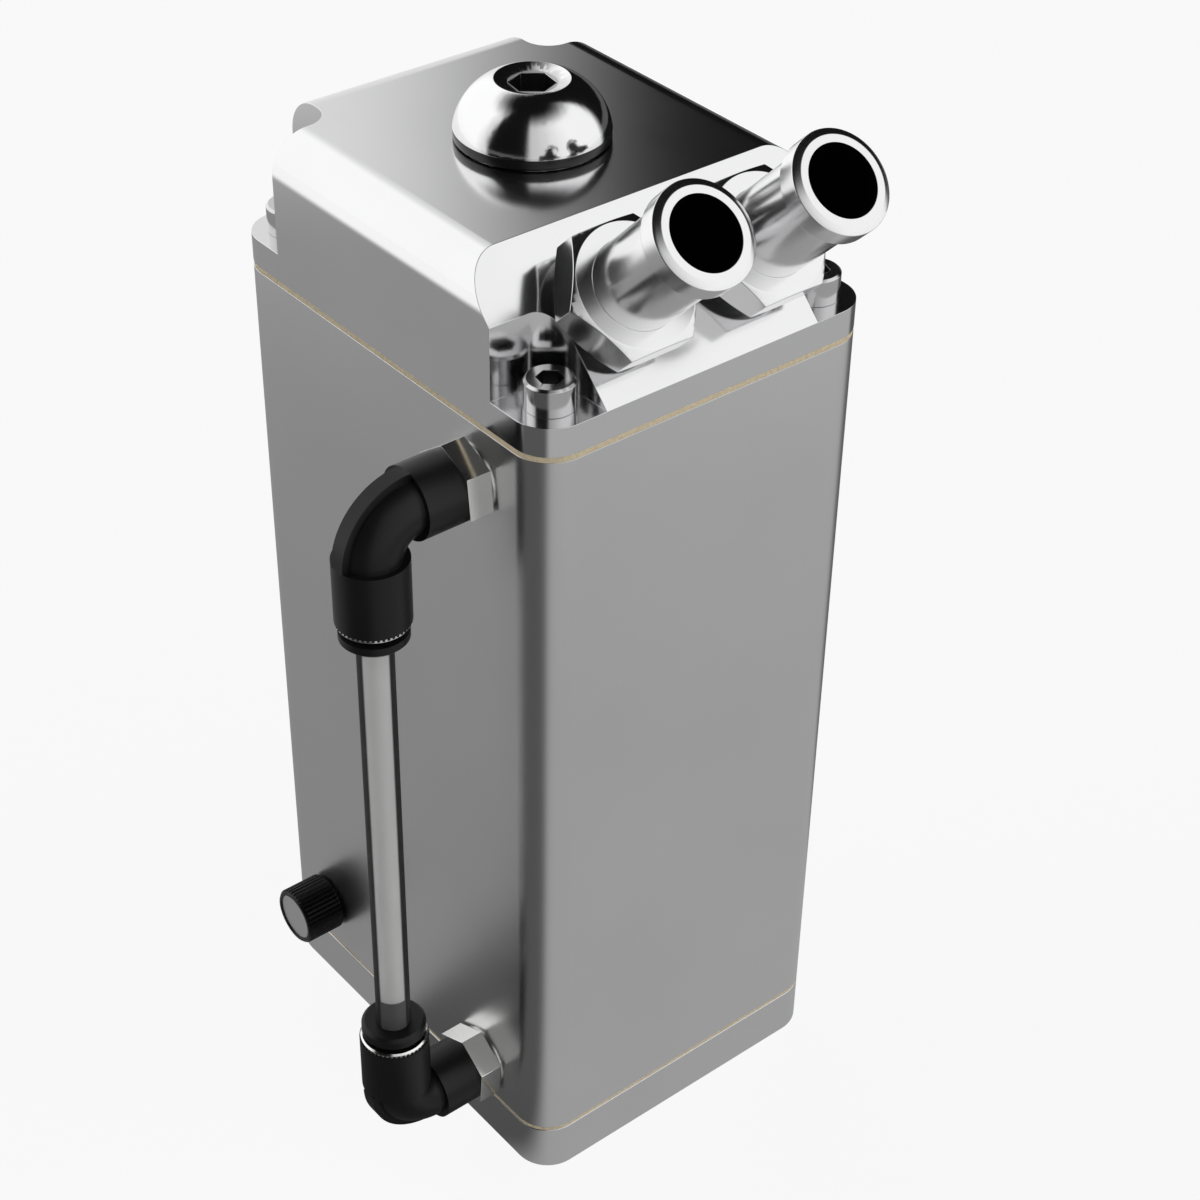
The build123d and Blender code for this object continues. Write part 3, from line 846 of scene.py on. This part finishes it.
class Repeat:
    """A geometry tree that repeats a shape by a rule, with named inputs."""

    def __init__(self, name: str, inputs: Mapping[str, str | int | float]) -> None:
        """Make the tree's interface.

        Args:
            name: The tree's name.
            inputs: Each input's name, with its first value, or with the kind of thing it takes.
        """
        self.tree = bpy.data.node_groups.new(name, "GeometryNodeTree")
        self.graph = Graph(self.tree)
        self.tree.interface.new_socket("Geometry", in_out="OUTPUT", socket_type="NodeSocketGeometry")
        for title, value in inputs.items():
            kind = value if isinstance(value, str) else type(value).__name__.capitalize()
            socket = self.tree.interface.new_socket(title, in_out="INPUT", socket_type=f"NodeSocket{kind}")
            if not isinstance(value, str):
                socket.default_value = value
        self.given = self.graph.add("NodeGroupInput")

    def value(self, title: str) -> Signal:
        """One of the tree's inputs."""
        return self.given.output(title)

    def end(self, geometry: Signal) -> None:
        """Finish the tree with real geometry that has its material.

        Args:
            geometry: The instances or mesh to finish with.
        """
        real = self.graph.add("GeometryNodeRealizeInstances", {}, {"Geometry": geometry})
        values = {"Geometry": real, "Material": self.value("Material")}
        dressed = self.graph.add("GeometryNodeSetMaterial", {}, values)
        self.graph.add("NodeGroupOutput", {}, {"Geometry": dressed})

    def copy_item(self, points: Signal, rotation: Signal) -> "Repeat":
        """Finish the tree with a copy of its item at every point.

        Args:
            points: Where the copies go.
            rotation: How each is turned.

        Returns:
            This tree.
        """
        values = {"Object": self.value("Item")}
        item = self.graph.add("GeometryNodeObjectInfo", {}, values, out="Geometry")
        placed = {"Points": points, "Instance": item, "Rotation": rotation}
        self.end(self.graph.add("GeometryNodeInstanceOnPoints", {}, placed))
        return self

    def grow(self, name: str, finish: Finish, **values: Any) -> Piece:
        """Run the tree with values for its inputs.

        Args:
            name: The new piece's name.
            finish: What its material is made of.
            values: Values by input name.

        Returns:
            The repeated shape as a plain mesh piece.
        """
        piece = Piece(name, bpy.data.meshes.new(name))
        step = piece.made.modifiers.new("repeat", "NODES")
        step.node_group = self.tree
        sockets = self.tree.interface.items_tree
        known = {item.name: item.identifier for item in sockets if item.in_out == "INPUT"}
        for title, value in {**values, "Material": palette.material(finish)}.items():
            step[known[title]] = value
        return piece.settle()


def ring_repeat() -> Repeat:
    """Copies of a shape round the Z axis, each turned to face outward.

    Returns:
        The tree.
    """
    tree = Repeat("around_axis", {"Item": "Object", "Count": 12, "Radius": 1.0, "Material": "Material"})
    values = {"Vertices": tree.value("Count"), "Radius": tree.value("Radius")}
    circle = tree.graph.add("GeometryNodeMeshCircle", {}, values)
    place = {"Vector": tree.graph.add("GeometryNodeInputPosition")}
    outward = {"axis": "X", "pivot_axis": "Z"}
    return tree.copy_item(circle, tree.graph.add("FunctionNodeAlignRotationToVector", outward, place))


def grid_repeat() -> Repeat:
    """Copies of a shape at the corners of a rectangle.

    Returns:
        The tree.
    """
    inputs = {"Item": "Object", "Width": 1.0, "Depth": 1.0, "Turn": 0.0, "Step": 0.45, "Material": "Material"}
    tree = Repeat("at_corners", inputs)
    values = {"Size X": tree.value("Width"), "Size Y": tree.value("Depth"), "Vertices X": 2, "Vertices Y": 2}
    grid = tree.graph.add("GeometryNodeMeshGrid", {}, values)
    which = tree.graph.add("GeometryNodeInputIndex")
    turn = tree.value("Turn") + which * tree.value("Step")
    return tree.copy_item(grid, tree.graph.add("ShaderNodeCombineXYZ", {}, {"Z": turn}))


def thread_repeat() -> Repeat:
    """A screw thread: a ridge swept along a helix that climbs Z.

    Returns:
        The tree.
    """
    tree = Repeat(
        "thread_ridge",
        {"Turns": 6.0, "Radius": 3.0, "Pitch": 1.0, "Depth": 0.6, "Steps": 40, "Material": "Material"},
    )
    radius, pitch = tree.value("Radius"), tree.value("Pitch")
    helix = tree.graph.add(
        "GeometryNodeCurveSpiral",
        {},
        {
            "Resolution": tree.value("Steps"),
            "Rotations": tree.value("Turns"),
            "Start Radius": radius,
            "End Radius": radius,
            "Height": tree.value("Turns") * pitch,
        },
    )
    level = tree.graph.add("GeometryNodeSetCurveNormal", {"mode": "Z_UP"}, {"Curve": helix})
    corners = {"Resolution": 4, "Radius": 1.0}
    square = tree.graph.add("GeometryNodeCurvePrimitiveCircle", {"mode": "RADIUS"}, corners)
    half_width = pitch * 0.46
    size = tree.graph.add("ShaderNodeCombineXYZ", {}, {"X": tree.value("Depth"), "Y": half_width, "Z": 1.0})
    ridge = tree.graph.add("GeometryNodeTransform", {}, {"Geometry": square, "Scale": size})
    values = {"Curve": level, "Profile Curve": ridge, "Fill Caps": True}
    tree.end(tree.graph.add("GeometryNodeCurveToMesh", {}, values))
    return tree


# Sub-assemblies


@dataclass(frozen=True)
class Thread:
    """A screw thread's sizes in millimetres, and the steps in one turn of it."""

    radius: float
    pitch: float
    depth: float
    steps: int
    play: float = 0.02  # of the crests inside the radius

    @property
    def core(self) -> float:
        """Radius at the root of the thread."""
        return self.radius - self.depth

    def ridge(self, sweep: Repeat, name: str, finish: Finish, turns: float) -> Piece:
        """The ridge alone in millimetres, which goes round Z as it climbs from the origin."""
        values = {"Radius": self.core, "Pitch": self.pitch, "Depth": self.depth - self.play}
        return sweep.grow(name, finish, Turns=turns, Steps=self.steps, **values)


@dataclass
class Housing:
    """Tank, base plate, baffle plate and the two gaskets."""

    edge: float = 0.25
    plate_edge: float = 0.15

    def build(self) -> None:
        """Soften the metal and give the gaskets their cork."""
        for node in ("tank_body", "base_plate"):
            soften(node, self.edge, Palette.satin, "tank")
        soften("baffle_plate", self.plate_edge, Palette.sheet, "tank")
        for node in ("lid_gasket", "base_gasket"):
            dress_node(node, Palette.cork)


@dataclass
class Lid:
    """The milled lid."""

    edge: float = 0.3

    def build(self) -> None:
        """Soften the milled edges and polish the lid."""
        soften("lid", self.edge, Palette.polished, "tank")


@dataclass
class CapScrews:
    """Four socket head cap screws at the corners of the can."""

    node: str
    head_up: bool
    head_d: float = 8.5
    head_h: float = 5.0
    edge: float = 0.4
    seat_edge: float = 0.1
    corner: float = 0.12
    socket: float = 4.0
    socket_depth: float = 2.5
    socket_edge: float = 0.06
    thread: Thread = Thread(2.5, 0.8, 0.45, 24)
    tip: Point = (0.3, 0.5)  # how far the tip's chamfer goes in and up
    plain: Point = (0.8, 0.7)  # without thread, at the tip and under the head

    def screw(self, length: float) -> Piece:
        """One screw with its seat at the origin and its head up.

        Args:
            length: Length under the head.

        Returns:
            The screw, in millimetres.
        """
        core, head, side = self.thread.core, self.head_d / 2, self.seat_edge
        outline = [
            (0.0, -length), (core - self.tip[0], -length), (core, -length + self.tip[1]), (core, 0.0),
            (head - side, 0.0), (head, side),
            (head, self.head_h - self.edge), (head - self.edge, self.head_h), (0.0, self.head_h),
        ]
        screw = Piece.turned("cap_screw", rounded(outline, self.corner, 2, lambda p: p[0] < 0.01), 64)
        screw.cut(Piece.prism("socket", self.socket, self.head_h - self.socket_depth, self.head_h + 1))
        return screw.ease(self.socket_edge, 40)

    def build(self, grid: Repeat, sweep: Repeat) -> None:
        """Repeat the screw at the four corners.

        Args:
            grid: The tree that copies to four corners.
            sweep: The tree that sweeps a thread.
        """
        low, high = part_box(self.node)
        length = (high.z - low.z) / MM - self.head_h
        seat_z = high.z / MM - self.head_h if self.head_up else low.z / MM + self.head_h
        screw = self.screw(length)
        turns = (length - sum(self.plain)) / self.thread.pitch
        ridge = self.thread.ridge(sweep, "screw_thread", Palette.screw_steel, turns)
        ridge.place(Matrix.Translation((0, 0, self.plain[0] - length)))
        screw = join("cap_screw_threaded", [screw, ridge])
        spread = high - low
        width, depth = spread.x / MM - self.head_d, spread.y / MM - self.head_d
        four = grid.grow(
            f"{self.node}_detailed", Palette.screw_steel, Item=screw.made, Width=width, Depth=depth, Turn=0.35
        )
        screw.remove()
        middle = (low + high) / 2 / MM
        direction = Direction.UP if self.head_up else Direction.DOWN

        def in_socket(centre: Vector, normal: Vector) -> bool:
            """Whether a face belongs to the inside of a screw's socket.

            Args:
                centre: The face's centre in metres.
                normal: Its normal, which is not used.

            Returns:
                True where it does.
            """
            off = centre / MM - middle
            corners = self.socket * 0.6
            reach = math.hypot(abs(off.x) - width / 2, abs(off.y) - depth / 2)
            top = (centre.z / MM - seat_z) * direction.value[2]
            floor, rim = self.head_h - self.socket_depth - self.socket_edge, self.head_h - self.socket_edge
            return reach < corners and floor < top < rim

        four.place(seat((middle.x, middle.y, seat_z), direction)).smooth(40)
        # The faces inside each socket take painted shade.
        four.dress(Palette.screw_steel, "tank", self.node).paint(Palette.socket_steel, in_socket)


@dataclass
class HoseFittings:
    """The two hose fittings and their seals."""

    edge: float = 0.18
    edge_angle: float = 22.0
    spacing: float = 27.4
    middle: Triple = (0.0, -32.35, 180.1)
    bore_reach: float = 6.4

    def build(self) -> None:
        """Soften and polish both fittings, and paint shade into their bores."""
        axis = Vector(Direction.PORT.value)
        for name, side in (("left", -1), ("right", 1)):
            foot = Vector((side * self.spacing / 2, *self.middle[1:]))

            def in_bore(centre: Vector, normal: Vector) -> bool:
                """Whether a face belongs to the wall of the bore."""
                reach = (centre / MM - foot).cross(axis).length
                return reach < self.bore_reach and abs(normal.dot(axis)) < 0.5

            node = f"{name}_hose_fitting"
            fitting = Piece.from_node(f"{node}_softened", node).ease(self.edge * MM, self.edge_angle)
            # The bore's walls take painted shade.
            fitting.dress(Palette.fitting, "tank", node).paint(Palette.oiled_bore, in_bore)
            dress_node(f"{name}_port_seal", Palette.rubber)


@dataclass
class FillerPlug:
    """The domed filler plug with its thread, rim band and ring."""

    centre: Point = (0.0, 4.3)
    rim_z: Point = (191.1, 192.8)
    rim_r: float = 13.3
    band_t: float = 0.9
    band_corner: float = 0.25
    band_gap: Point = (0.03, 0.05)  # outside the band, and on its other sides
    dish_z: float = 200.4
    socket_r: float = 4.1
    socket_depth: float = 6.0
    groove_z: float = 182.5
    thread: Thread = Thread(9.0, 1.5, 0.7, 72)
    thread_l: float = 7.5
    thread_room: Point = (0.2, 0.1)  # below and above it in its groove
    edge: float = 0.12
    edge_angle: float = 25.0

    def build(self, sweep: Repeat) -> None:
        """Soften the plug, turn it bright, and make its thread and its band.

        Args:
            sweep: The tree that sweeps a thread.
        """
        axis = seat((*self.centre, 0.0), Direction.UP)
        low, high = self.rim_z
        below, above = self.thread_room
        start = self.groove_z
        finish = Palette.turned(Palette.bright_steel, (*self.centre, low), Direction.UP)
        plug = Piece.from_node("filler_plug_softened", "filler_plug")
        groove(plug, axis, self.rim_r - self.band_t, self.rim_r + 1, low - OVERLAP, high)
        end = start + below + self.thread_l + above
        groove(plug, axis, self.thread.core, self.thread.radius + 0.5, start, end)
        top = Vector((*self.centre, self.dish_z))

        def in_socket(centre: Vector, normal: Vector) -> bool:
            """Whether a face belongs to the inside of the plug's socket."""
            off = centre / MM - top
            return math.hypot(off.x, off.y) < self.socket_r and -self.socket_depth < off.z < 0.0

        plug.ease(self.edge * MM, self.edge_angle).dress(finish, "plug", "filler_plug")
        # The faces inside the socket take painted shade.
        plug.paint(Palette.socket_steel, in_socket)
        ridge = self.thread.ridge(sweep, "filler_plug_thread", finish, self.thread_l / self.thread.pitch)
        ridge.place(axis @ Matrix.Translation((0, 0, start + below))).smooth(20).dress(finish, "plug")
        out, gap = self.band_gap
        inner, outer = self.rim_r - self.band_t + gap, self.rim_r - out
        outline = [(inner, low + gap), (outer, low + gap), (outer, high - gap), (inner, high - gap)]
        band = Piece.turned("filler_plug_band", rounded(outline, self.band_corner), 128)
        band.place(axis).smooth(40).dress(Palette.smooth_rubber, "plug")
        dress_node("filler_plug_seal", Palette.rubber)


@dataclass
class DrainScrew:
    """The drain screw with its knurled knob and ring."""

    tip: Triple = (-29.0, 27.4, 20.9)
    thread: Thread = Thread(3.0, 1.0, 0.55, 48)
    turns: float = 4.9
    groove_ends: Point = (0.3, 5.9)
    start: float = 0.6
    edge: float = 0.08

    def build(self, sweep: Repeat) -> None:
        """Soften the knob and the screw, and make its thread.

        Args:
            sweep: The tree that sweeps a thread.
        """
        soften("drain_knob", self.edge, Palette.knob_plastic, "drain")
        axis = seat(self.tip, Direction.LEFT)
        screw = Piece.from_node("drain_screw_softened", "drain_screw")
        groove(screw, axis, self.thread.core, self.thread.radius + 0.4, *self.groove_ends)
        screw.ease(self.edge * MM).dress(Palette.sheet, "drain", "drain_screw")
        ridge = self.thread.ridge(sweep, "drain_screw_thread", Palette.sheet, self.turns)
        ridge.place(axis @ Matrix.Translation((0, 0, self.start))).smooth(20).dress(Palette.sheet, "drain")
        dress_node("drain_seal", Palette.rubber)


@dataclass
class SightGauge:
    """The push-in elbows and the tube between them."""

    edge: float = 0.2
    hex_edge: float = 0.12
    wall_x: float = -35.0
    axis_y: float = -24.5
    stud_z: Point = (152.7, 18.2)
    washer_r: float = 6.1
    washer_t: float = 0.5
    hexagon_reach: float = 9.0
    tube_x: float = -54.85
    mouth_z: Point = (133.6, 37.3)
    tooth: float = 0.46
    tooth_h: float = 0.42
    teeth: int = 46
    inset: float = 0.12

    def build(self, ring: Repeat) -> None:
        """Soften the elbows' pieces, cut their washer faces and teeth, and make the tube clear.

        Args:
            ring: The tree that repeats round an axis.
        """
        levels = zip(("upper", "lower"), self.stud_z, self.mouth_z, (Direction.DOWN, Direction.UP))
        for level, stud_z, mouth_z, out in levels:
            soften(f"{level}_elbow_body", self.edge, Palette.black_plastic, "tank")
            stud = Piece.from_node(f"{level}_elbow_stud_softened", f"{level}_elbow_stud")
            wall = seat((self.wall_x, self.axis_y, stud_z), Direction.LEFT)
            groove(stud, wall, self.washer_r, self.hexagon_reach, -OVERLAP, self.washer_t)
            stud.ease(self.hex_edge * MM).dress(Palette.nickel, "tank", f"{level}_elbow_stud")
            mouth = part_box(f"{level}_guide_ring")
            radius = (mouth[1].x - mouth[0].x) / 2 / MM - self.inset
            tooth = Piece.prism("tooth", self.tooth, -OVERLAP, self.tooth_h)
            values = {"Item": tooth.made, "Count": self.teeth, "Radius": radius}
            teeth = ring.grow(f"{level}_elbow_teeth", Palette.black_plastic, **values)
            tooth.remove()
            teeth.place(seat((self.tube_x, self.axis_y, mouth_z), out)).smooth(50)
            teeth.dress(Palette.black_plastic, "tank")
            for node in ("swivel_seal", "tube_seal"):
                dress_node(f"{level}_{node}", Palette.rubber)
            dress_node(f"{level}_grip_ring", Palette.bright_steel)
            dress_node(f"{level}_guide_ring", Palette.nickel)
            dress_node(f"{level}_release_collet", Palette.black_plastic)
        dress_node("sight_tube", Palette.tubing)


@dataclass(frozen=True)
class Screen:
    """A tall soft screen far from the can, by its directions in degrees, and the painted light on the floor
    before it.
    """

    azimuth: float
    half_width: float
    softness: float
    levels: tuple[Point, ...]
    fade: Point
    # Level of the painted light on the floor near the can.
    foot: float

    def width(self, graph: Graph, azimuth: Signal) -> Signal:
        """How far a direction meets the screen.

        Args:
            graph: The graph to add it to.
            azimuth: The direction's azimuth in degrees.

        Returns:
            1 where it meets the screen and 0 beside it.
        """
        off = azimuth.maths("ABSOLUTE", azimuth - self.azimuth)
        inner, outer = self.half_width - self.softness, self.half_width + self.softness
        return smooth_step(graph, off, inner, outer, 1.0, 0.0)

    def level(self, graph: Graph, azimuth: Signal) -> Signal:
        """The screen's radiance, which changes across it.

        Args:
            graph: The graph to add it to.
            azimuth: The direction's azimuth in degrees.

        Returns:
            The radiance.
        """
        level = azimuth * 0.0 + self.levels[0][1]
        for (start, before), (end, after) in zip(self.levels, self.levels[1:]):
            level = level + smooth_step(graph, azimuth, start, end, 0.0, after - before)
        return level

    def light(self, graph: Graph, azimuth: Signal, height: Signal) -> Signal:
        """The screen's light in a direction.

        Args:
            graph: The world's graph.
            azimuth: The direction's azimuth in degrees.
            height: The sine of its elevation.

        Returns:
            The radiance.
        """
        low, high = (math.sin(math.radians(edge)) for edge in self.fade)
        shown = self.width(graph, azimuth) * smooth_step(graph, height, low, high, 1.0, 0.0)
        return shown * self.level(graph, azimuth)

    def mirrored(self, graph: Graph, azimuth: Signal, far: Signal) -> Signal:
        """Painted light on the floor before the screen, as metal sees it, as bright as the screen where far
        is 1.
        """
        return self.width(graph, azimuth) * (self.foot + (self.level(graph, azimuth) - self.foot) * far)


@dataclass
class Studio:
    """Floor, light and camera."""

    floor_size: float = 40.0
    lens: float = 73.742
    sensor: float = 36.0
    clip: Point = (0.01, 100.0)
    eye: Triple = (-228.36, -290.34, 372.66)
    right: Triple = (0.7761, -0.6304, 0.0149)
    down: Triple = (-0.3672, -0.4711, -0.8019)
    forward: Triple = (0.5125, 0.6169, -0.5972)
    dark: float = 0.006
    # Painted shade on the floor between the screens, as metal sees it.
    floor_dark: float = 0.07
    glow_seen: float = 0.91
    glow_reflected: float = 0.88
    near: float = 0.36
    far: float = 0.62
    screens: tuple[Screen, ...] = (
        Screen(-74.0, 59.5, 7.0, ((-130.0, 0.66), (-65.0, 1.1)), (45.0, 76.0), 0.405),
        Screen(
            110.0, 57.0, 4.5, ((58.0, 0.85), (75.0, 1.2), (145.0, 1.2), (165.0, 0.8)), (45.0, 72.0), 0.245
        ),
    )

    def floor(self) -> None:
        """Lay a pale floor that keeps the can's shadow, and that shows metal painted light before each screen
        and painted shade between them.
        """
        mesh = bmesh.new()
        bmesh.ops.create_grid(mesh, x_segments=1, y_segments=1, size=self.floor_size / 2)
        data = mesh_data("floor", mesh)
        made = bpy.data.objects.new("floor", data)
        bpy.context.scene.collection.objects.link(made)
        material = bpy.data.materials.new("floor_paint")
        material.use_nodes = True
        graph = Graph(material.node_tree)
        paint = graph.add("ShaderNodeBsdfPrincipled", {}, {"Base Color": even(0.8), "Roughness": 0.6})
        place = graph.add("ShaderNodeTexCoord", out="Object")
        distance = graph.add("ShaderNodeVectorMath", {"operation": "LENGTH"}, {0: place}, out="Value")
        axes = graph.add("ShaderNodeSeparateXYZ", {}, {0: place})
        azimuth = self.azimuth(axes)
        far = smooth_step(graph, distance, self.near, self.far, 0.0, 1.0)
        # The floor's glow for glossy rays: painted light before the screens, painted shade between them.
        painted_floor_glow = azimuth * 0.0 + self.floor_dark
        for screen in self.screens:
            painted_floor_glow = painted_floor_glow + screen.mirrored(graph, azimuth, far)
        clear = self.clear(graph)
        reflected = graph.add("ShaderNodeLightPath", out="Is Glossy Ray")
        strength = clear + (1.0 - clear) * painted_floor_glow
        glow = graph.add("ShaderNodeEmission", {}, {"Color": WHITE, "Strength": strength})
        share = clear * self.glow_seen + (1.0 - clear) * reflected * self.glow_reflected
        mixed = graph.add("ShaderNodeMixShader", {}, {0: share, 1: paint, 2: glow})
        graph.add("ShaderNodeOutputMaterial", {}, {"Surface": mixed})
        data.materials.append(material)

    def world(self) -> None:
        """Light the room with two tall soft screens, one in front and one behind."""
        world = bpy.data.worlds.new("room")
        bpy.context.scene.world = world
        world.use_nodes = True
        graph = Graph(world.node_tree)
        way = graph.add("ShaderNodeTexCoord", out="Generated")
        axes = graph.add("ShaderNodeSeparateXYZ", {}, {0: way})
        azimuth = self.azimuth(axes)
        light = azimuth * 0.0 + self.dark
        for screen in self.screens:
            light = light + screen.light(graph, azimuth, axes.output("Z"))
        clear = self.clear(graph)
        strength = clear + (1.0 - clear) * light
        sky = graph.add("ShaderNodeBackground", {}, {"Color": WHITE, "Strength": strength})
        graph.add("ShaderNodeOutputWorld", {}, {"Surface": sky})

    @staticmethod
    def clear(graph: Graph) -> Signal:
        """1 for rays that come straight from the camera or through clear plastic."""
        seen = graph.add("ShaderNodeLightPath", out="Is Camera Ray")
        return seen.maths("MINIMUM", seen + seen.output("Is Transmission Ray"), 1.0)

    @staticmethod
    def azimuth(axes: Signal) -> Signal:
        """Azimuth in degrees of a vector that is split into its axes."""
        return axes.maths("ARCTAN2", axes.output("Y"), axes.output("X")) * math.degrees(1.0)

    def camera(self) -> None:
        """Set the camera where the photograph was taken from."""
        data = bpy.data.cameras.new("camera")
        data.lens, data.sensor_width, data.sensor_fit = self.lens, self.sensor, "AUTO"
        data.clip_start, data.clip_end = self.clip
        made = bpy.data.objects.new("camera", data)
        axes = Matrix((Vector(self.right), -Vector(self.down), -Vector(self.forward))).transposed()
        made.matrix_world = Matrix.Translation(Vector(self.eye) * MM) @ axes.to_4x4()
        bpy.context.scene.collection.objects.link(made)
        bpy.context.scene.camera = made

    def build(self) -> None:
        """Set up the whole studio."""
        self.camera()
        self.floor()
        self.world()
        bpy.context.scene.view_settings.view_transform = "Standard"


def main() -> None:
    """Build the studio and every sub-assembly in order."""
    Studio().build()
    grid, sweep, ring = grid_repeat(), thread_repeat(), ring_repeat()
    Housing().build()
    Lid().build()
    CapScrews("lid_screws", head_up=True).build(grid, sweep)
    CapScrews("base_screws", head_up=False).build(grid, sweep)
    HoseFittings().build()
    FillerPlug().build(sweep)
    DrainScrew().build(sweep)
    SightGauge().build(ring)


if __name__ == "__main__":
    main()
